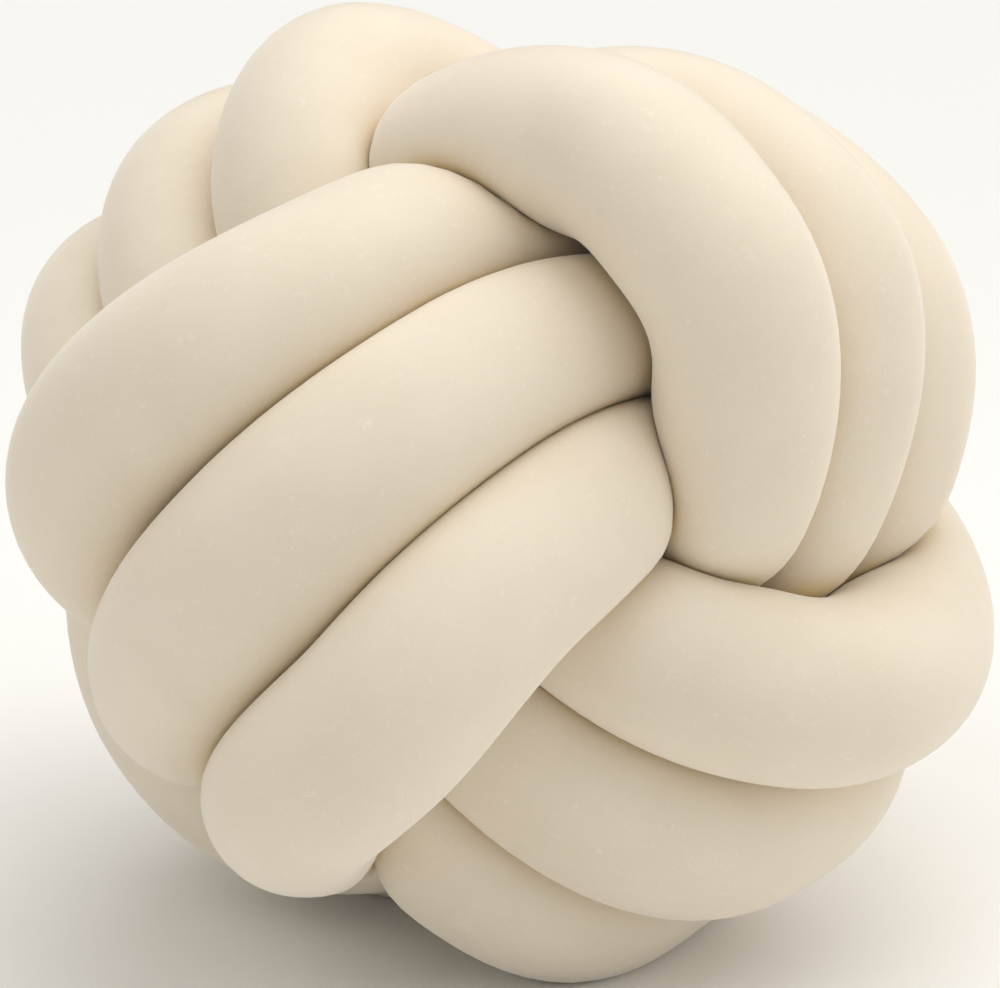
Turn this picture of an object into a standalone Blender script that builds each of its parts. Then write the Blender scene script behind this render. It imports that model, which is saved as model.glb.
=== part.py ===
# Knot cushion: one long stuffed tube of brushed fabric, tied into a ball.
# It has three bands of three turns, one band round each axis of the knot. Each band
# passes over the next band on one pair of faces and under the band before it on another,
# so every face shows three turns side by side. The tube starts just under the surface, and
# its far end is rolled up in the middle of the ball.
# The sizes below are in millimetres and the finished model is in metres, +Z up. The
# origin is the middle of the ball's box, on the surface that it rests on.

import math

import bpy
import numpy as np
from mathutils import Euler

for thing in list(bpy.data.objects):
    bpy.data.objects.remove(thing, do_unlink=True)

# The tube
RINGS = 405                 # cross-sections along the tube
SIDES = 12                  # corners of each cross-section
FINER_RINGS = 2             # the skin is worked out on a finer grid, this many times as many
FINER_SIDES = 3
WIDER = 1.06                # the section's width over its height where nothing presses
PLUMP = 0.6                 # 1 keeps the area of a pressed section, 0 lets it shrink
SWELL_MOST = 1.25           # a pressed section swells by this factor at most
SWELL_RINGS = 5             # fine rings each way that share a swelling
ROUND_RINGS = 2             # rounding of the skin's corners, in fine rings and fine sides
ROUND_SIDES = 2
END_RING = 4.0              # first ring's distance from the tip of an end
TOUCH_GAP = 0.5             # half of the gap kept between two stretches that press together

# The knot
SQUARENESS = 2.5            # 2 makes a turn an ellipse, more makes its shoulders squarer
LEAD_ANGLE = 22.0           # a band begins and ends this far from its shift side, degrees
SHIFT_ANGLE = 80.0          # a turn moves over to the next slot within this angle, degrees
RAMP = 0.9                  # pull of the two ends on a link through the middle
START_TIP = (34.0, -16.0, 66.0)      # the tucked-in start, on the knot's own axes
START_AIM = (0.0, -1.0, 0.1)
COIL_MIDDLE = (6.0, -17.0, 4.0)      # the far end is rolled up in the middle of the ball
COIL_RADIUS = 17.0
COIL_INWARD = 180.0         # it spirals in over this angle, degrees
COIL_ANGLE = 540.0          # and its tip is this far round

# How the ball stands
TURN_X = 49.0
TURN_Y = -3.6
TURN_Z = -121.7
FLAT_DEPTH = 5.0            # how far the ball's underside is pressed flat

# Each band: over axis, under axis and stacking axis of the knot, travel direction round
# the loop, and the angle of the shift side, where one turn moves over to the next.
BANDS = {
    "B": (1, 2, 0, 1, 90.0),
    "C": (2, 0, 1, -1, 270.0),
    "A": (0, 1, 2, -1, 90.0),
}

# One row for each turn, in the order they are tied, in millimetres. A turn leaves the
# hidden shift side, passes over (first), under (far) and over (second) and comes back to
# the shift side. Reach is the distance from the knot's centre to the tube's centreline
# and slot is the turn's place across the band. Lean and tilt slant an over pass across
# the band and outwards, and girth is the tube's free radius.
COLUMNS = ("band",
           "first_reach", "first_slot", "first_lean", "first_tilt", "first_girth",
           "far_reach", "far_slot", "far_girth",
           "second_reach", "second_slot", "second_lean", "second_tilt", "second_girth",
           "shift_reach", "shift_slot", "shift_girth")
TURNS = (
    ("B", 116, 43, -4, -1, 24.5, 61, 24, 23, 130, 49, -5, -1, 25.5, 70, 31, 23.5),
    ("B", 130, 0, 0, 0, 22.5, 72, 2, 23.5, 131, -2, -1, -4, 22, 71, 0, 23),
    ("B", 123, -49, 0, 0, 23.5, 80, -34, 23, 113, -47, 1, -6, 23, 61, -28, 24),
    ("C", 113, -52, -8, 1, 25, 72, -41, 23, 127, -50, 5, 0, 25, 72, -39, 23.5),
    ("C", 126, 0, -6, 0, 25.5, 71, -11, 24, 130, 0, 3, 1, 24, 82, -5, 23.5),
    ("C", 119, 53, 3, 0, 26.5, 60, 26, 24.5, 115, 49, -4, -2, 26, 68, 41, 24),
    ("A", 133, -53, 1, 3, 25.5, 74, -40, 23, 125, -55, 0, 0, 24, 64, -30, 23.5),
    ("A", 131, 2, 1, 1, 27, 80, -2, 23.5, 128, -1, 0, 0, 25.5, 91, 5, 25.5),
    ("A", 128, 58, 2, -2, 25, 68, 35, 23.5, 121, 51, 0, 0, 23.5, 60, 42, 22),
)


def unit(vector):
    return vector / np.linalg.norm(vector)


def ease(x):
    # 0 to 1 with level ends: x squared times (3 - 2x)
    x = np.clip(x, 0.0, 1.0)
    return x * x * (3.0 - 2.0 * x)


def rounded_square(angle, power):
    # a point on |x|^power + |y|^power = 1, in the direction of the angle
    x = np.cos(angle)
    y = np.sin(angle)
    size = (np.abs(x) ** power + np.abs(y) ** power) ** (-1.0 / power)
    return x * size, y * size


def between_stations(stations, within):
    # a value that goes from one of a turn's five stations to the next as sine squared
    quarter = np.clip((within / 90.0).astype(int), 0, 3)
    share = np.sin((within / 90.0 - quarter) * math.pi / 2) ** 2
    here = np.take_along_axis(stations, quarter[None], 0)[0]
    following = np.take_along_axis(stations, quarter[None] + 1, 0)[0]
    return here * (1 - share) + following * share


def band_line(name):
    # The centreline of one band's three turns. Each turn is a rounded rectangle in the
    # plane of the over and under axes, with a slot along the stacking axis.
    over_axis, under_axis, stack_axis, travel, shift_side = BANDS[name]
    rows = [dict(zip(COLUMNS, row)) for row in TURNS if row[0] == name]
    angle = np.arange(LEAD_ANGLE, 1080.0 - LEAD_ANGLE + 0.001, 2.0)
    turn = np.clip((angle // 360).astype(int), 0, 2)
    within = angle - 360.0 * turn
    x, y = rounded_square(np.radians(shift_side + travel * angle), SQUARENESS)

    def column(key):
        return np.array([row[key] for row in rows], float)[turn]

    def over_pass(key):
        return np.where(within < 180, column("first_" + key), column("second_" + key))

    slot = between_stations(np.stack([column("shift_slot"), column("first_slot"),
                                      column("far_slot"), column("second_slot"),
                                      column("shift_slot")]), within)
    # on the hidden shift side a turn slopes over to the next one's slot
    for number in (1, 2):
        step = rows[number]["shift_slot"] - rows[number - 1]["shift_slot"]
        slope = ease((angle - 360.0 * number) / SHIFT_ANGLE + 0.5)
        slot += step * (slope - (angle >= 360.0 * number))
    # lean and tilt slant an over pass without moving its middle
    from_middle = (within % 180.0 - 90.0) / 90.0
    slant = np.sin(from_middle * math.pi) * np.cos(from_middle * math.pi / 2)
    slot += over_pass("lean") * slant
    over = over_pass("reach") + over_pass("tilt") * slant

    def shift_ends(key):
        # on the shift side a turn and the next one meet halfway between their two values
        one, two, three = [row[key] for row in rows]
        met = np.array([one, (one + two) / 2, (two + three) / 2, three])
        return met[turn], met[turn + 1]

    near_shift = np.where(within < 90, *shift_ends("shift_reach"))
    under = np.where((within >= 90) & (within < 270), column("far_reach"), near_shift)

    points = np.zeros((len(angle), 3))
    points[:, over_axis] = over * x
    points[:, under_axis] = under * y
    points[:, stack_axis] = slot
    start_girth, end_girth = shift_ends("shift_girth")
    radius = between_stations(np.stack([start_girth, column("first_girth"), column("far_girth"),
                                        column("second_girth"), end_girth]), within)
    side = np.zeros((len(angle), 3))
    side[:, stack_axis] = travel
    return points, radius, side


def link(start, start_aim, end, end_aim, pull, count):
    # a cubic between two points that leaves and arrives along the two aims
    t = np.linspace(0.0, 1.0, count)[:, None]
    reach = np.linalg.norm(end - start) * pull
    bend = (t ** 3 - 2 * t ** 2 + t) * unit(start_aim) * reach
    bend += (t ** 3 - t ** 2) * unit(end_aim) * reach
    return (2 * t ** 3 - 3 * t ** 2 + 1) * start + (3 * t ** 2 - 2 * t ** 3) * end + bend


def coil(start, aim, count):
    # The rolled-up end: it leaves along the aim and spirals in round the coil's middle.
    # Its radius is a cubic of the angle that levels out at the coil's own radius.
    middle = np.array(COIL_MIDDLE)
    first = unit(start - middle)
    axis = unit(np.cross(first, aim))
    second = np.cross(axis, first)
    start_radius = np.linalg.norm(start - middle)
    inward = math.radians(COIL_INWARD)
    slope = start_radius * (unit(aim) @ first) / (unit(aim) @ second)
    angle = np.linspace(0.0, math.radians(COIL_ANGLE), count)[:, None]
    t = np.clip(angle / inward, 0.0, 1.0)
    radius = (2 * t ** 3 - 3 * t ** 2 + 1) * start_radius + (3 * t ** 2 - 2 * t ** 3) * COIL_RADIUS
    radius += (t ** 3 - 2 * t ** 2 + t) * slope * inward
    return middle + radius * (np.cos(angle) * first + np.sin(angle) * second), axis


def tube_line():
    # the whole tube: a tucked-in start, band B, C and A joined through the middle of the
    # ball, and the rolled-up end
    points = []
    radii = []
    sides = []
    for name in "BCA":
        line, radius, side = band_line(name)
        aim = line[1] - line[0]
        if not points:
            lead = link(np.array(START_TIP), np.array(START_AIM), line[0], aim, 1.0, 24)
            share = np.ones(23)
            from_radius, from_side = radius[0], side[0]
            lead = lead[:-1]
        else:
            before = points[-1]
            lead = link(before[-1], before[-1] - before[-2], line[0], aim, RAMP, 42)[1:-1]
            share = ease(np.linspace(0.0, 1.0, 42))[1:-1]
            from_radius, from_side = radii[-1][-1], sides[-1][-1]
        points += [lead, line]
        radii += [from_radius + (radius[0] - from_radius) * share, radius]
        sides += [from_side + (side[0] - from_side) * share[:, None], side]
    last = points[-1]
    tail, axis = coil(last[-1], last[-1] - last[-2], 120)
    share = ease(np.linspace(0.0, 3.0, 119))[:, None]
    points.append(tail[1:])
    radii.append(np.full(119, radii[-1][-1]))
    sides.append(sides[-1][-1] * (1 - share) + axis * share)
    return np.vstack(points), np.concatenate(radii), np.vstack(sides)


def sample(line, distance, wanted):
    # values of the line's columns at the wanted distances along it
    return np.stack([np.interp(wanted, distance, column) for column in line.T], 1)


def free_radius(radius, along, length):
    # the radius of the tube when nothing presses on it, closing in a round end
    to_tip = np.minimum(along, length - along)
    inside = np.clip(1.0 - to_tip / radius, 0.0, 1.0)
    return radius * np.sqrt(np.maximum(1.0 - inside ** 2, 0.003))


def wall_distance(centre, radius, outward, near, near_radius):
    # How far the skin may go in one direction. Against another stretch of the tube it stops
    # on the plane halfway between the two, which is (d^2 + r^2 - q^2) / 2d from its own
    # centre, for centres d apart and radii r and q.
    gap = near[None] - centre[:, None]
    apart = (gap ** 2).sum(2)
    half = (apart + (radius ** 2)[:, None] - (near_radius ** 2)[None]) / 2
    facing = np.einsum("rni,ri->rn", gap, outward)
    closeness = np.where(apart > 1.0, facing / np.maximum(half, 2.0), 0.0).max(1)
    return np.maximum(1.0 / np.maximum(closeness, 0.001) - TOUCH_GAP, 1.5)


def smoothed(values, width, closed=False):
    # a cosine-weighted running mean down the columns, over width rows each way
    weights = np.hanning(2 * width + 3)[1:-1]
    weights /= weights.sum()
    longer = np.pad(values, ((width, width), (0, 0)), mode="wrap" if closed else "edge")
    return sum(weight * longer[row:row + len(values)] for row, weight in enumerate(weights))


def pressed_radius(wall, radius, angle):
    # A free section is an ellipse, a little wider than it is high. Where walls press, it
    # swells elsewhere by part of the area that they take, and the skin rounds off corners.
    oval = 1.0 / np.hypot(np.cos(angle), np.sin(angle) / WIDER)
    free = radius[:, None] * oval
    free_area = (free ** 2).mean(1, keepdims=True)
    swell = np.ones((len(radius), 1))
    for _ in range(6):
        area = (np.minimum(wall, free * swell) ** 2).mean(1, keepdims=True)
        swell = np.clip(swell * (free_area / area) ** (0.5 * PLUMP), 1.0, SWELL_MOST)
    skin = np.minimum(wall, free * smoothed(swell, SWELL_RINGS))
    skin = smoothed(skin, ROUND_RINGS)
    skin = smoothed(skin.T, ROUND_SIDES, closed=True).T
    return np.maximum(np.minimum(wall, skin), 0.5)


def tube_rings():
    line, radius, side = tube_line()
    steps = np.linalg.norm(np.diff(line, axis=0), axis=1)
    distance = np.concatenate([[0.0], np.cumsum(steps)])
    length = distance[-1]
    dense = np.arange(0.0, length, 5.0)
    near = sample(line, distance, dense)
    near_radius = free_radius(np.interp(dense, distance, radius), dense, length)

    along = np.linspace(END_RING, length - END_RING, (RINGS - 1) * FINER_RINGS + 1)
    centre = sample(line, distance, along)
    ahead = sample(line, distance, along + 2.0) - sample(line, distance, along - 2.0)
    ahead /= np.linalg.norm(ahead, axis=1, keepdims=True)
    side = sample(side, distance, along)
    side -= (side * ahead).sum(1, keepdims=True) * ahead
    side /= np.linalg.norm(side, axis=1, keepdims=True)
    up = np.cross(ahead, side)
    radius = free_radius(np.interp(along, distance, radius), along, length)

    fine_sides = SIDES * FINER_SIDES
    angle = 2 * math.pi * (np.arange(fine_sides) + 0.5 * FINER_SIDES) / fine_sides
    outward = up[:, None] * np.cos(angle)[:, None] + side[:, None] * np.sin(angle)[:, None]
    wall = np.stack([wall_distance(centre, radius, outward[:, corner], near, near_radius)
                     for corner in range(fine_sides)], 1)
    reach = pressed_radius(wall, radius, angle)
    rings = centre[:, None] + outward * reach[..., None]
    return rings[::FINER_RINGS, ::FINER_SIDES], line[0], line[-1], length


def stand(rings, tips):
    # turn the knot to the way it stands, press its underside flat and set it on z = 0
    angles = [math.radians(angle) for angle in (TURN_X, TURN_Y, TURN_Z)]
    turn = np.array(Euler(angles).to_matrix())
    rings = rings @ turn.T
    tips = tips @ turn.T
    floor = rings[..., 2].min() + FLAT_DEPTH
    low = rings.reshape(-1, 3).min(0)
    high = rings.reshape(-1, 3).max(0)
    origin = np.array([(low[0] + high[0]) / 2, (low[1] + high[1]) / 2, floor])
    rings = rings - origin
    tips = tips - origin
    rings[..., 2] = np.maximum(rings[..., 2], 0.0)
    return rings / 1000.0, tips / 1000.0


def closed_tube(name, rings, tips, material):
    # quads between the rings and a fan of triangles at each tip
    count, sides = rings.shape[:2]
    verts = np.vstack([rings.reshape(-1, 3), tips])
    first = np.arange(count * sides).reshape(count, sides)
    following = np.roll(first, -1, axis=1)
    quads = np.stack([first[:-1], first[1:], following[1:], following[:-1]], 2).reshape(-1, 4)
    faces = quads.tolist()
    for corner in range(sides):
        after = (corner + 1) % sides
        faces.append([count * sides, int(first[0, corner]), int(first[0, after])])
        faces.append([count * sides + 1, int(first[-1, after]), int(first[-1, corner])])
    mesh = bpy.data.meshes.new(name)
    mesh.from_pydata(verts.tolist(), [], faces)
    mesh.shade_smooth()
    mesh.materials.append(material)
    thing = bpy.data.objects.new(name, mesh)
    bpy.context.scene.collection.objects.link(thing)
    return thing


def fabric(name, colour, roughness):
    material = bpy.data.materials.new(name)
    material.use_nodes = True
    shader = material.node_tree.nodes["Principled BSDF"]
    shader.inputs["Base Color"].default_value = (*colour, 1.0)
    shader.inputs["Roughness"].default_value = roughness
    shader.inputs["Metallic"].default_value = 0.0
    return material


ring_points, start_tip, end_tip, tube_length = tube_rings()
ring_points, tip_points = stand(ring_points, np.array([start_tip, end_tip]))
cream = fabric("cream_brushed_fabric", (0.78, 0.69, 0.55), 0.9)
knotted_tube = closed_tube("knotted_tube", ring_points, tip_points, cream)
print(f"tube {tube_length / 1000:.2f} m long, {len(knotted_tube.data.polygons)} faces")
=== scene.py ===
# Knot cushion: one long stuffed tube of cream brushed jersey, tied in a three-turn
# monkey's fist. Lengths in the dictionaries are millimetres, the scene is in metres.
import math

import bpy
import numpy as np
from mathutils import Euler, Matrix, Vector


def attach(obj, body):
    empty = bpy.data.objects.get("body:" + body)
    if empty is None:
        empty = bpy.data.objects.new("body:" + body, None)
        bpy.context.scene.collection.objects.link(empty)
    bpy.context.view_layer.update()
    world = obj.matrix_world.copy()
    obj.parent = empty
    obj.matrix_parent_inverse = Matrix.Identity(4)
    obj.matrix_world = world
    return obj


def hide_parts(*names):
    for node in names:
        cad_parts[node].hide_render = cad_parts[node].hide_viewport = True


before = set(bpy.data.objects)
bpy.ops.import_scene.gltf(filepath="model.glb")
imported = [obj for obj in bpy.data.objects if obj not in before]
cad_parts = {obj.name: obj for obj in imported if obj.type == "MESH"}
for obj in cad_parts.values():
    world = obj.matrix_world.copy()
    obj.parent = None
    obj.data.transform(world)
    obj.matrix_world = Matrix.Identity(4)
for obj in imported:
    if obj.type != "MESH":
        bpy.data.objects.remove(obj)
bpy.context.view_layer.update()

mm = 0.001

camera = {
    "knotCentre": (0.8, 5.48, 135.72),   # middle of the knot on the part's axes
    "elevation": 18.0,                   # degrees above the horizon
    "distance": 1077.2,                  # from the knot's centre
    "aimRight": -1.05,                   # where it looks, beside the knot's centre
    "aimUp": -3.42,
    "focal": 128.6,                      # on a 36 mm sensor
    "sensor": 36.0,
    "clipNear": 0.01,                    # metres
    "clipFar": 50.0,
}


def makeCamera():
    # stands back from the knot's centre along the elevation, and looks just beside it
    tilt = math.radians(camera["elevation"])
    back = Vector((0.0, -math.cos(tilt), math.sin(tilt)))
    up = Vector((0.0, math.sin(tilt), math.cos(tilt)))
    centre = Vector(camera["knotCentre"])
    place = centre + back * camera["distance"]
    target = centre + Vector((1, 0, 0)) * camera["aimRight"] + up * camera["aimUp"]
    lens = bpy.data.cameras.new("mainCamera")
    lens.lens = camera["focal"]
    lens.sensor_width = camera["sensor"]
    lens.clip_start = camera["clipNear"]
    lens.clip_end = camera["clipFar"]
    eye = bpy.data.objects.new("mainCamera", lens)
    bpy.context.scene.collection.objects.link(eye)
    eye.location = place * mm
    eye.rotation_mode = "QUATERNION"
    eye.rotation_quaternion = (target - place).to_track_quat("-Z", "Y")
    bpy.context.scene.camera = eye


makeCamera()
print("camera placed")


def linear(hexColour):
    # sRGB hex to linear RGBA: c / 12.92 when small, else ((c + 0.055) / 1.055) ^ 2.4
    parts = [int(hexColour[i:i + 2], 16) / 255 for i in (0, 2, 4)]
    return (*[c / 12.92 if c <= 0.04045 else ((c + 0.055) / 1.055) ** 2.4 for c in parts], 1.0)


def addNode(tree, kind, settings=None, links=None):
    # One node: settings are attributes or socket values, links feed its sockets. A colour
    # Mix has its factor at socket 0, its colours at 6 and 7 and its result at output 2.
    node = tree.nodes.new(kind)
    for key, value in (settings or {}).items():
        if isinstance(key, str) and hasattr(node, key):
            setattr(node, key, value)
        else:
            node.inputs[key].default_value = value
    for key, output in (links or {}).items():
        tree.links.new(output, node.inputs[key])
    return node


jersey = {
    "base": "EADFCD",        # warm cream
    "nap": "E7DBC8",         # the same cream where the pile lies the other way
    "creaseShadeColour": "F4DD9A",      # painted shade: the warm deep cream that creases take from light bounced off the cloth
    "fleck": "F0E7D7",       # short pale fibres that stand up from the pile
    "roughness": 0.92,
    "sheen": 0.6,
    "sheenRoughness": 0.4,
    "sheenTint": "FFFCF6",
    "specular": 0.2,
    "under": 0.12,           # share of the light that passes into the cloth and comes back
    "underReach": 2.0,       # how far it spreads there
    "underTint": (1.0, 0.75, 0.5),
    "napSize": 24.0,         # brushed patches of the pile
    "napDetail": 1.5,
    "napFrom": 0.3,          # the two creams change over within this range of the patches
    "napTo": 0.7,
    "tuftSize": 2.6,         # curls of fibre, drawn twice too coarse, so that they show
    "tuftDetail": 3.0,
    "tuftRoughness": 0.62,
    "curl": 1.8,             # how far the fibres twist
    "fleckFrom": 0.58,       # tufts higher than this show as flecks, 1 is the highest
    "fleckTo": 0.80,
    "relief": 0.12,          # height of the fibres
    "reliefStrength": 0.35,
}


def brushedJersey():
    # Brushed polyester jersey: a matt knit whose raised short pile hides the stitches. It
    # looks smooth and soft, with faint curls and flecks of fibre and a pale rim where the
    # pile is seen edge on. A little light passes into the cloth. Creases get painted shade, a
    # warm deep cream, most on their hanging side, standing in for light off the cloth across.
    mat = bpy.data.materials.new("brushedJersey")
    mat.use_nodes = True
    tree = mat.node_tree
    shader = tree.nodes["Principled BSDF"]
    place = addNode(tree, "ShaderNodeTexCoord")
    nap = addNode(tree, "ShaderNodeTexNoise",
                  {"Scale": 1 / (jersey["napSize"] * mm), "Detail": jersey["napDetail"]},
                  {"Vector": place.outputs["Object"]})
    napShade = addNode(tree, "ShaderNodeMapRange",
                       {"From Min": jersey["napFrom"], "From Max": jersey["napTo"]},
                       {"Value": nap.outputs["Fac"]})
    tufts = addNode(tree, "ShaderNodeTexNoise",
                    {"Scale": 1 / (jersey["tuftSize"] * mm), "Detail": jersey["tuftDetail"],
                     "Roughness": jersey["tuftRoughness"], "Distortion": jersey["curl"]},
                    {"Vector": place.outputs["UV"]})
    flecks = addNode(tree, "ShaderNodeMapRange",
                     {"From Min": jersey["fleckFrom"], "From Max": jersey["fleckTo"]},
                     {"Value": tufts.outputs["Fac"]})
    cloth = addNode(tree, "ShaderNodeMix",
                    {"data_type": "RGBA", 6: linear(jersey["nap"]), 7: linear(jersey["base"])},
                    {0: napShade.outputs["Result"]})
    # painted crease shade: the mesh's weight for the warm crease colour
    pressedAndPaintedShade = addNode(tree, "ShaderNodeAttribute", {"attribute_name": "pressedAndPaintedShade"})
    paintedCreaseShadeMix = addNode(tree, "ShaderNodeMix",
                      {"data_type": "RGBA", 7: linear(jersey["creaseShadeColour"])},
                      {0: pressedAndPaintedShade.outputs["Fac"], 6: cloth.outputs[2]})
    colour = addNode(tree, "ShaderNodeMix", {"data_type": "RGBA", 7: linear(jersey["fleck"])},
                     {0: flecks.outputs["Result"], 6: paintedCreaseShadeMix.outputs[2]})
    relief = addNode(tree, "ShaderNodeBump",
                     {"Strength": jersey["reliefStrength"], "Distance": jersey["relief"] * mm},
                     {"Height": tufts.outputs["Fac"]})
    tree.links.new(colour.outputs[2], shader.inputs["Base Color"])
    tree.links.new(relief.outputs["Normal"], shader.inputs["Normal"])
    shader.inputs["Roughness"].default_value = jersey["roughness"]
    shader.inputs["Sheen Weight"].default_value = jersey["sheen"]
    shader.inputs["Sheen Roughness"].default_value = jersey["sheenRoughness"]
    shader.inputs["Sheen Tint"].default_value = linear(jersey["sheenTint"])
    shader.inputs["Specular IOR Level"].default_value = jersey["specular"]
    shader.inputs["Subsurface Weight"].default_value = jersey["under"]
    shader.inputs["Subsurface Radius"].default_value = jersey["underTint"]
    shader.inputs["Subsurface Scale"].default_value = jersey["underReach"] * mm
    return mat


tube = {
    "rings": 1300,           # cross-sections along the tube
    "sides": 72,             # corners of each one
    "nearStep": 5.0,         # spacing of the points that stand for the other stretches
    "wallLeast": 1.5,        # a wall never comes nearer to the centreline than this,
    "skinLeast": 0.5,        # nor the skin than this
    "wider": 1.06,           # free width over height
    "plump": 0.6,            # 1 keeps a pressed section's area, 0 lets it shrink
    "swellMost": 1.25,
    "swellRounds": 6,        # times the swelling is worked out again
    "swellRings": 8,         # rings each way that share a swelling
    "roundRings": 3,         # rounding of the skin's corners, along and round the tube
    "roundSides": 5,
    "creaseShadeReach": 1.0,      # the painted crease shade fades out this far from a pressed wall
    "creaseShadeShare": 0.6,      # how deep it is there: the rest is kept for the very bottom
    "creaseCoreShadeReach": 0.03,       # of the crease, which fades out this far from the wall
    "creaseShadeFacingUp": 0.3,      # share of the painted shade that shows where the cloth faces up to the light
    "aboveSpan": 0.8,        # upward slope over which that share changes
    "endRing": 1.0,          # first ring's distance from the tip of an end
    "meanGirth": 25.0,       # radius at which the UVs go round
    "square": 2.5,           # shoulders of a turn: 2 is an ellipse
    "step": 2.0,             # degrees from one point of a turn to the next
    "lead": 22.0,            # degrees kept free at both ends of a band
    "shift": 80.0,           # degrees in which a turn moves to the next slot
    "pull": 0.9,             # of the two ends on a link through the middle
    "startTip": (34.0, -16.0, 66.0),      # the tucked-in start, on the knot's own axes
    "startAim": (0.0, -1.0, 0.1),
    "coilMiddle": (6.0, -17.0, 4.0),      # the far end is rolled up in the middle
    "coilRadius": 17.0,
    "coilInward": 180.0,     # degrees over which it spirals in
    "coilAngle": 540.0,      # and where its tip is
    "startPoints": 24,       # points on the tucked-in start, a link and the coil
    "linkPoints": 42,
    "coilPoints": 120,
    "stand": (49.0, -3.6, -121.7),   # how the knot is turned to stand, degrees
    "flat": 5.0,             # depth of the pressed underside
}

# over axis, under axis, stacking axis, travel direction and angle of the hidden shift side
bands = {
    "B": (1, 2, 0, 1, 90.0),
    "C": (2, 0, 1, -1, 270.0),
    "A": (0, 1, 2, -1, 90.0),
}

# A turn leaves the hidden shift side, passes over (first), under (far), over (second) and
# comes back. Reach is from the knot's centre to the centreline, slot is the place across
# the band, lean and tilt slant an over pass across the band and outwards, and girth is the
# free radius.
turnColumns = ("band",
               "firstReach", "firstSlot", "firstLean", "firstTilt", "firstGirth",
               "farReach", "farSlot", "farGirth",
               "secondReach", "secondSlot", "secondLean", "secondTilt", "secondGirth",
               "shiftReach", "shiftSlot", "shiftGirth")
turnRows = (
    ("B", 116, 43, -4, -1, 24.5, 61, 24, 23, 130, 49, -5, -1, 25.5, 70, 31, 23.5),
    ("B", 130, 0, 0, 0, 22.5, 72, 2, 23.5, 131, -2, -1, -4, 22, 71, 0, 23),
    ("B", 123, -49, 0, 0, 23.5, 80, -34, 23, 113, -47, 1, -6, 23, 61, -28, 24),
    ("C", 113, -52, -8, 1, 25, 72, -41, 23, 127, -50, 5, 0, 25, 72, -39, 23.5),
    ("C", 126, 0, -6, 0, 25.5, 71, -11, 24, 130, 0, 3, 1, 24, 82, -5, 23.5),
    ("C", 119, 53, 3, 0, 26.5, 60, 26, 24.5, 115, 49, -4, -2, 26, 68, 41, 24),
    ("A", 133, -53, 1, 3, 25.5, 74, -40, 23, 125, -55, 0, 0, 24, 64, -30, 23.5),
    ("A", 131, 2, 1, 1, 27, 80, -2, 23.5, 128, -1, 0, 0, 25.5, 91, 5, 25.5),
    ("A", 128, 58, 2, -2, 25, 68, 35, 23.5, 121, 51, 0, 0, 23.5, 60, 42, 22),
)


def unit(vector):
    return vector / np.linalg.norm(vector)


def ease(x):
    # 0 to 1 with level ends: x squared times (3 - 2x)
    x = np.clip(x, 0.0, 1.0)
    return x * x * (3.0 - 2.0 * x)


def betweenStations(stations, within):
    # a value that goes from one of a turn's five stations, 90 degrees apart, to the next
    # as sine squared
    quarter = np.clip((within / 90.0).astype(int), 0, 3)
    share = np.sin((within / 90.0 - quarter) * math.pi / 2) ** 2
    here = np.take_along_axis(stations, quarter[None], 0)[0]
    following = np.take_along_axis(stations, quarter[None] + 1, 0)[0]
    return here * (1 - share) + following * share


def bandLine(name):
    # Three turns of a rounded square |x|^n + |y|^n = 1 in the plane of the over and under
    # axes, with a slot along the stacking axis.
    over, under, stack, travel, shiftSide = bands[name]
    rows = [dict(zip(turnColumns, row)) for row in turnRows if row[0] == name]
    angle = np.arange(tube["lead"], 1080.0 - tube["lead"] + 0.001, tube["step"])
    turn = np.clip((angle // 360).astype(int), 0, 2)
    within = angle - 360.0 * turn
    around = np.radians(shiftSide + travel * angle)
    size = (np.abs(np.cos(around)) ** tube["square"]
            + np.abs(np.sin(around)) ** tube["square"]) ** (-1.0 / tube["square"])

    def column(key):
        return np.array([row[key] for row in rows], float)[turn]

    def overPass(key):
        return np.where(within < 180, column("first" + key), column("second" + key))

    slot = betweenStations(np.stack([column("shiftSlot"), column("firstSlot"),
                                     column("farSlot"), column("secondSlot"),
                                     column("shiftSlot")]), within)
    for number in (1, 2):    # the slope over to the next turn's slot, on the hidden side
        step = rows[number]["shiftSlot"] - rows[number - 1]["shiftSlot"]
        slope = ease((angle - 360.0 * number) / tube["shift"] + 0.5)
        slot += step * (slope - (angle >= 360.0 * number))
    fromMiddle = (within % 180.0 - 90.0) / 90.0
    slant = np.sin(fromMiddle * math.pi) * np.cos(fromMiddle * math.pi / 2)
    slot += overPass("Lean") * slant
    overReach = overPass("Reach") + overPass("Tilt") * slant

    def shiftEnds(key):
        # on the shift side a turn and the next one meet halfway between their two values
        one, two, three = [row[key] for row in rows]
        met = np.array([one, (one + two) / 2, (two + three) / 2, three])
        return met[turn], met[turn + 1]

    nearShift = np.where(within < 90, *shiftEnds("shiftReach"))
    underReach = np.where((within >= 90) & (within < 270), column("farReach"), nearShift)

    points = np.zeros((len(angle), 3))
    points[:, over] = overReach * np.cos(around) * size
    points[:, under] = underReach * np.sin(around) * size
    points[:, stack] = slot
    startGirth, endGirth = shiftEnds("shiftGirth")
    radius = betweenStations(np.stack([startGirth, column("firstGirth"), column("farGirth"),
                                       column("secondGirth"), endGirth]), within)
    side = np.zeros((len(angle), 3))
    side[:, stack] = travel
    return points, radius, side


def link(start, startAim, end, endAim, pull, count):
    # a cubic from start to end that leaves and arrives along the two aims
    t = np.linspace(0.0, 1.0, count)[:, None]
    reach = np.linalg.norm(end - start) * pull
    bend = (t ** 3 - 2 * t ** 2 + t) * unit(startAim) * reach
    bend += (t ** 3 - t ** 2) * unit(endAim) * reach
    return (2 * t ** 3 - 3 * t ** 2 + 1) * start + (3 * t ** 2 - 2 * t ** 3) * end + bend


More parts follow.
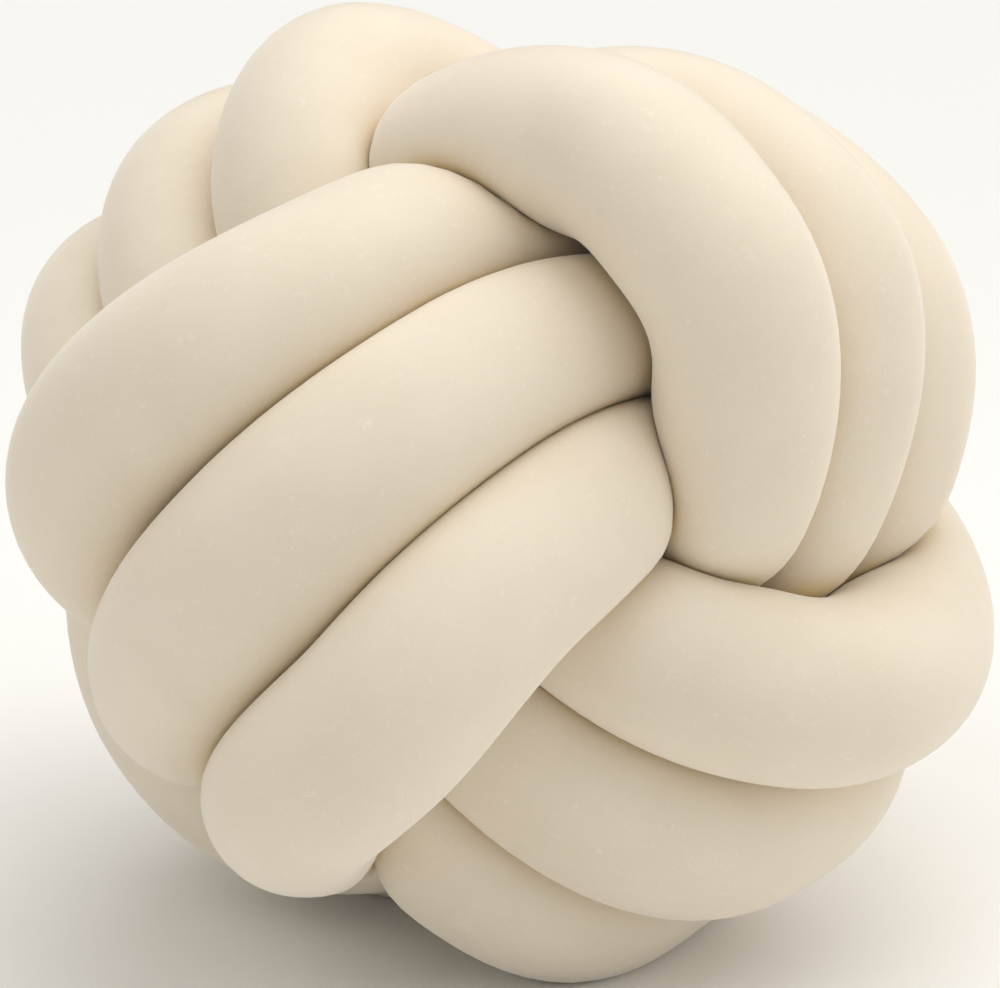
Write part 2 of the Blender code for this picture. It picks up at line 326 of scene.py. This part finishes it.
def coil(start, aim, count):
    # The rolled-up end leaves along the aim and spirals in round the coil's middle. Its
    # radius is a cubic of the angle that levels out at the coil's own radius.
    middle = np.array(tube["coilMiddle"])
    first = unit(start - middle)
    axis = unit(np.cross(first, aim))
    second = np.cross(axis, first)
    startRadius = np.linalg.norm(start - middle)
    inward = math.radians(tube["coilInward"])
    slope = startRadius * (unit(aim) @ first) / (unit(aim) @ second)
    angle = np.linspace(0.0, math.radians(tube["coilAngle"]), count)[:, None]
    t = np.clip(angle / inward, 0.0, 1.0)
    radius = (2 * t ** 3 - 3 * t ** 2 + 1) * startRadius
    radius += (3 * t ** 2 - 2 * t ** 3) * tube["coilRadius"]
    radius += (t ** 3 - 2 * t ** 2 + t) * slope * inward
    return middle + radius * (np.cos(angle) * first + np.sin(angle) * second), axis


def tubeLine():
    # tucked-in start, band B, C and A joined through the middle, rolled-up end
    points, radii, sides = [], [], []
    for name in "BCA":
        line, radius, side = bandLine(name)
        aim = line[1] - line[0]
        if not points:
            lead = link(np.array(tube["startTip"]), np.array(tube["startAim"]),
                        line[0], aim, 1.0, tube["startPoints"])[:-1]
            share = np.ones(len(lead))
            fromRadius, fromSide = radius[0], side[0]
        else:
            last = points[-1]
            lead = link(last[-1], last[-1] - last[-2], line[0], aim,
                        tube["pull"], tube["linkPoints"])[1:-1]
            share = ease(np.linspace(0.0, 1.0, tube["linkPoints"]))[1:-1]
            fromRadius, fromSide = radii[-1][-1], sides[-1][-1]
        points += [lead, line]
        radii += [fromRadius + (radius[0] - fromRadius) * share, radius]
        sides += [fromSide + (side[0] - fromSide) * share[:, None], side]
    last = points[-1]
    tail, axis = coil(last[-1], last[-1] - last[-2], tube["coilPoints"])
    tail = tail[1:]
    share = ease(np.linspace(0.0, 3.0, len(tail)))[:, None]      # done a third of the way
    points.append(tail)
    radii.append(np.full(len(tail), radii[-1][-1]))
    sides.append(sides[-1][-1] * (1 - share) + axis * share)
    return np.vstack(points), np.concatenate(radii), np.vstack(sides)


def sample(line, distance, wanted):
    # the line's columns at the wanted distances along it
    return np.stack([np.interp(wanted, distance, part) for part in line.T], 1)


def smoothed(values, width, closed=False):
    # a cosine-weighted running mean down the columns, over width rows each way
    weights = np.hanning(2 * width + 3)[1:-1]
    weights /= weights.sum()
    longer = np.pad(values, ((width, width), (0, 0)), mode="wrap" if closed else "edge")
    return sum(weight * longer[row:row + len(values)] for row, weight in enumerate(weights))


def freeRadius(radius, along, length):
    # nothing presses: the girth, closing in a round end
    inside = np.clip(1.0 - np.minimum(along, length - along) / radius, 0.0, 1.0)
    return radius * np.sqrt(np.maximum(1.0 - inside ** 2, 0.0004))


def wallDistance(centre, radius, outward, near, nearRadius):
    # Against another stretch of the tube the skin stops halfway, on the plane at
    # (d^2 + r^2 - q^2) / 2d for centres d apart and radii r and q. The ray along outward
    # meets it at that over its cosine, and the nearest plane is the one met first.
    gap = near[None] - centre[:, None]
    half = ((gap ** 2).sum(2) + (radius ** 2)[:, None] - (nearRadius ** 2)[None]) / 2
    facing = np.einsum("rni,ri->rn", gap, outward)
    closeness = np.where((gap ** 2).sum(2) > 1.0, facing / np.maximum(half, 2.0), 0.0).max(1)
    return np.maximum(1.0 / np.maximum(closeness, 0.001), tube["wallLeast"])


def pressedRadius(wall, radius, angle):
    # A free section is an ellipse. Where walls press, it swells elsewhere by the share of
    # its area that they take, and the skin rounds off their corners like stretched cloth.
    oval = 1.0 / np.hypot(np.cos(angle), np.sin(angle) / tube["wider"])
    free = radius[:, None] * oval
    swell = np.ones((len(radius), 1))
    for _ in range(tube["swellRounds"]):
        area = (np.minimum(wall, free * swell) ** 2).mean(1, keepdims=True)
        swell *= ((free ** 2).mean(1, keepdims=True) / area) ** (0.5 * tube["plump"])
        swell = np.clip(swell, 1.0, tube["swellMost"])
    swell = smoothed(swell, tube["swellRings"])
    pressedAndPaintedShade = np.minimum(wall, free * swell)
    skin = smoothed(pressedAndPaintedShade, tube["roundRings"])
    skin = smoothed(skin.T, tube["roundSides"], closed=True).T
    return np.maximum(np.minimum(wall, skin), tube["skinLeast"])


def standTurn():
    # the turn from the knot's own axes to the way it stands
    return np.array(Euler([math.radians(a) for a in tube["stand"]]).to_matrix())


def tubeRings():
    line, radius, side = tubeLine()
    distance = np.concatenate([[0.0], np.cumsum(np.linalg.norm(np.diff(line, axis=0), axis=1))])
    length = distance[-1]
    dense = np.arange(0.0, length, tube["nearStep"])
    near = sample(line, distance, dense)
    nearRadius = freeRadius(np.interp(dense, distance, radius), dense, length)

    along = np.linspace(tube["endRing"], length - tube["endRing"], tube["rings"])
    centre = sample(line, distance, along)
    ahead = sample(line, distance, along + 2.0) - sample(line, distance, along - 2.0)
    ahead /= np.linalg.norm(ahead, axis=1, keepdims=True)
    side = sample(side, distance, along)
    side -= (side * ahead).sum(1, keepdims=True) * ahead
    side /= np.linalg.norm(side, axis=1, keepdims=True)
    up = np.cross(ahead, side)
    radius = freeRadius(np.interp(along, distance, radius), along, length)

    # the first corner is on the side that faces the knot's core
    angle = 2 * math.pi * np.arange(tube["sides"]) / tube["sides"] + math.pi
    outward = up[:, None] * np.cos(angle)[:, None] + side[:, None] * np.sin(angle)[:, None]
    wall = np.stack([wallDistance(centre, radius, outward[:, corner], near, nearRadius)
                     for corner in range(tube["sides"])], 1)
    reach = pressedRadius(wall, radius, angle)
    rings = centre[:, None] + outward * reach[..., None]
    # painted crease shade: the weight of the warm crease colour, near 1 against a pressed wall
    # and less where the cloth faces up to the light
    pressedAndPaintedShade = tube["creaseShadeShare"] * np.exp(-(wall - reach) / tube["creaseShadeReach"])
    pressedAndPaintedShade += (1 - tube["creaseShadeShare"]) * np.exp(-(wall - reach) / tube["creaseCoreShadeReach"])
    above = ease(0.5 + (outward @ standTurn().T)[..., 2] / tube["aboveSpan"])
    pressedAndPaintedShade *= 1 - (1 - tube["creaseShadeFacingUp"]) * above
    return rings, np.array([line[0], line[-1]]), pressedAndPaintedShade, along, length


def stand(rings, tips):
    # turned to the way it stands, pressed flat underneath and set on the floor
    rings = rings @ standTurn().T
    tips = tips @ standTurn().T
    points = rings.reshape(-1, 3)
    low, high = points.min(0), points.max(0)
    floor = low[2] + tube["flat"]
    origin = np.array([(low[0] + high[0]) / 2, (low[1] + high[1]) / 2, floor])
    print("knot centre on the part's axes", np.round(-origin, 2).tolist())
    rings = rings - origin
    rings[..., 2] = np.maximum(rings[..., 2], 0.0)
    return rings * mm, (tips - origin) * mm


def closedTube(name, rings, tips, pressedAndPaintedShade, along, length, mat):
    # Vertex (i, j) is corner j of ring i. Quads between rings, a fan at each tip, and UVs
    # in metres: u along the tube, v round it at the mean girth.
    count, sides = rings.shape[:2]
    vertices = np.vstack([rings.reshape(-1, 3), tips])
    first = np.arange(count * sides).reshape(count, sides)
    following = np.roll(first, -1, axis=1)
    quads = np.stack([first[:-1], first[1:], following[1:], following[:-1]], 2).reshape(-1, 4)
    startFan = np.stack([np.full(sides, count * sides), first[0], following[0]], 1)
    endFan = np.stack([np.full(sides, count * sides + 1), following[-1], first[-1]], 1)
    mesh = bpy.data.meshes.new(name)
    mesh.from_pydata(vertices.tolist(), [], quads.tolist() + startFan.tolist() + endFan.tolist())

    roundTube = np.arange(sides + 1) / sides * 2 * math.pi * tube["meanGirth"] * mm
    u = along * mm
    corners = np.empty((count - 1, sides, 4, 2))
    corners[..., 0, 0] = corners[..., 3, 0] = u[:-1, None]
    corners[..., 1, 0] = corners[..., 2, 0] = u[1:, None]
    corners[..., 0, 1] = corners[..., 1, 1] = roundTube[None, :-1]
    corners[..., 2, 1] = corners[..., 3, 1] = roundTube[None, 1:]
    startCorners = np.empty((sides, 3, 2))
    startCorners[..., 0] = u[0]
    startCorners[:, 0, 0] = 0.0
    startCorners[:, 0, 1] = roundTube[:-1]
    startCorners[:, 1, 1] = roundTube[:-1]
    startCorners[:, 2, 1] = roundTube[1:]
    endCorners = startCorners[:, [0, 2, 1]].copy()
    endCorners[..., 0] = u[-1]
    endCorners[:, 0, 0] = length * mm
    layer = mesh.uv_layers.new(name="alongAndRound")
    flat = np.concatenate([corners.ravel(), startCorners.ravel(), endCorners.ravel()])
    layer.data.foreach_set("uv", flat.astype(np.float32))
    # the painted crease shade weights, one for each vertex, read by the material
    shade = mesh.attributes.new("pressedAndPaintedShade", "FLOAT", "POINT")
    shade.data.foreach_set("value", np.append(pressedAndPaintedShade.ravel(), [0, 0]).astype(np.float32))
    mesh.shade_smooth()
    mesh.materials.append(mat)
    mesh.update()
    piece = bpy.data.objects.new(name, mesh)
    bpy.context.scene.collection.objects.link(piece)
    return piece


rings, tips, pressedAndPaintedShade, along, length = tubeRings()
rings, tips = stand(rings, tips)
stuffedTube = closedTube("stuffedTube", rings, tips, pressedAndPaintedShade, along, length, brushedJersey())
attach(stuffedTube, "root")
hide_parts("knotted_tube")
print(f"tube {length / 1000:.2f} m, {len(stuffedTube.data.polygons)} faces")


studio = {
    "floor": "F7F6F4",
    "floorRoughness": 0.9,
    "floorHalf": 4.0,        # metres
    "worldColour": "FFFFFF",
    "worldStrength": 0.32,
    "lightColour": "FFFDF8",
    "lightPlace": (0.0, 0.0, 1.5),       # of the wide lights, whose place changes nothing
    "panelPlace": (0.05, -0.10, 0.75),   # a soft panel just above the ball, metres
    "panelSize": 0.6,
    "panelPower": 0.8,
}

# Very wide lights, like walls and a ceiling of diffusers: the way each one travels, its
# width in degrees and its strength.
wideLights = {
    "topLight": ((-0.3, -0.25, -1.0), 70.0, 1.56),
    "leftLight": ((0.7, 0.4, -0.8), 60.0, 0.6),
    "rightLight": ((-1.0, 0.3, -0.6), 60.0, 0.68),
}


def makeFloor():
    half = studio["floorHalf"]
    mesh = bpy.data.meshes.new("paleFloor")
    mesh.from_pydata([(-half, -half, 0), (half, -half, 0), (half, half, 0), (-half, half, 0)],
                     [], [(0, 1, 2, 3)])
    mat = bpy.data.materials.new("mattFloorPaint")
    mat.use_nodes = True
    shader = mat.node_tree.nodes["Principled BSDF"]
    shader.inputs["Base Color"].default_value = linear(studio["floor"])
    shader.inputs["Roughness"].default_value = studio["floorRoughness"]
    mesh.materials.append(mat)
    floor = bpy.data.objects.new("paleFloor", mesh)
    bpy.context.scene.collection.objects.link(floor)


def addLight(name, kind, place, aim, settings):
    lamp = bpy.data.lights.new(name, kind)
    lamp.color = linear(studio["lightColour"])[:3]
    for key, value in settings.items():
        setattr(lamp, key, value)
    light = bpy.data.objects.new(name, lamp)
    bpy.context.scene.collection.objects.link(light)
    light.location = place
    light.rotation_mode = "QUATERNION"
    light.rotation_quaternion = Vector(aim).to_track_quat("-Z", "Y")


def makeStudio():
    makeFloor()
    world = bpy.data.worlds.new("studioWorld")
    world.use_nodes = True
    sky = world.node_tree.nodes["Background"]
    sky.inputs["Color"].default_value = linear(studio["worldColour"])
    sky.inputs["Strength"].default_value = studio["worldStrength"]
    bpy.context.scene.world = world
    for name, (aim, width, strength) in wideLights.items():
        addLight(name, "SUN", studio["lightPlace"], aim,
                 {"angle": math.radians(width), "energy": strength})
    middle = Vector((0.0, 0.0, camera["knotCentre"][2] * mm))
    panel = Vector(studio["panelPlace"])
    addLight("topPanel", "AREA", panel, middle - panel,
             {"size": studio["panelSize"], "energy": studio["panelPower"]})
    bpy.context.scene.view_settings.view_transform = "Standard"
    bpy.context.scene.view_settings.look = "None"


makeStudio()
print("studio lit")
